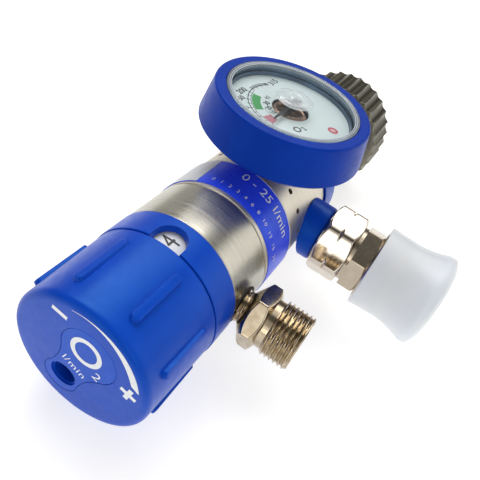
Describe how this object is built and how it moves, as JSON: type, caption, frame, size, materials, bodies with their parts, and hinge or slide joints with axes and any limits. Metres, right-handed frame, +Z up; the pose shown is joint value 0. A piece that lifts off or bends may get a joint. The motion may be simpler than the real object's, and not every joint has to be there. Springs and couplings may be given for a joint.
{
  "type": "oxygen regulator",
  "caption": "Compact oxygen cylinder regulator with a ribbed click flow knob, contents gauge in a bumper, flow outlet, capped quick coupling and toothed handwheel nut.",
  "frame": {"origin": "centre of the inlet's sealing face, inside the handwheel", "axes": "+Y along the main axis towards the cylinder valve, +Z up through the gauge, +X along the two outlets"},
  "size_m": [0.0921, 0.1651, 0.0624],
  "materials": {
    "blue_plastic": "satin",
    "dark_blue_plastic": "satin",
    "white_plastic": "satin",
    "milky_plastic": "milky translucent",
    "clear_plastic": "clear",
    "blue_rubber": "satin",
    "blue_print": "printed film",
    "rubber": "matt",
    "brushed_nickel": "nickel-plated, turned",
    "bright_nickel": "nickel-plated, bright",
    "chrome": "polished",
    "brass": "machined",
    "bronze": "sintered",
    "copper": "drawn",
    "steel": "plain",
    "black_metal": "painted",
    "wheel_metal": "plated, dull"
  },
  "bodies": {
    "regulator": {"front_housing": "bright_nickel", "window_collar": "blue_plastic", "click_ball": "steel", "click_spring": "steel", "spindle_seal": "rubber", "seat_plate": "brass", "main_body": "brushed_nickel", "body_label": "blue_print", "piston_spring": "steel", "inlet_nozzle": "brass", "guard_ring": "blue_plastic", "inlet_stem": "brushed_nickel", "inlet_filter": "bronze", "inlet_seal": "white_plastic", "wheel_clip": "steel", "gauge_bumper": "blue_rubber", "gauge_case": "steel", "gauge_stem": "brass", "bourdon_tube": "copper", "gauge_dial": "white_plastic", "gauge_lens": "clear_plastic", "flow_outlet": "chrome", "flow_outlet_seal": "rubber", "port_ring": "blue_plastic", "coupling_body": "bright_nickel", "lock_nut": "chrome", "check_spring": "steel"},
    "selector": {"knob": "blue_plastic", "face_plate": "dark_blue_plastic", "knob_screw": "steel", "spindle": "brass", "number_drum": "white_plastic", "orifice_disc": "brass"},
    "handwheel": {"handwheel": "wheel_metal"},
    "piston": {"piston": "brass", "piston_seal": "rubber"},
    "pointer": {"gauge_pointer": "black_metal"},
    "check_valve": {"check_valve": "brass"},
    "cap": {"coupling_cap": "milky_plastic"}
  },
  "joints": [
    {"name": "knob_turn", "type": "hinge", "parent": "regulator", "child": "selector", "pos_m": [0, -0.1305, 0], "axis": [0, 1, 0], "range_deg": [-120, 180]},
    {"name": "handwheel_turn", "type": "hinge", "parent": "regulator", "child": "handwheel", "pos_m": [0, 0, 0], "axis": [0, 1, 0], "continuous": true},
    {"name": "piston_slide", "type": "slide", "parent": "regulator", "child": "piston", "axis": [0, 1, 0], "range_m": [0, 0.0005]},
    {"name": "pointer_sweep", "type": "hinge", "parent": "regulator", "child": "pointer", "pos_m": [0, -0.0741, 0.0379], "axis": [0, 0, 1], "range_deg": [-123, 0]},
    {"name": "check_valve_slide", "type": "slide", "parent": "regulator", "child": "check_valve", "axis": [-1, 0, 0], "range_m": [0, 0.0006], "stiffness_N_per_m": 1200, "springref_m": -0.0005},
    {"name": "cap_pull", "type": "slide", "parent": "regulator", "child": "cap", "axis": [1, 0, 0], "range_m": [0, 0.03]}
  ]
}
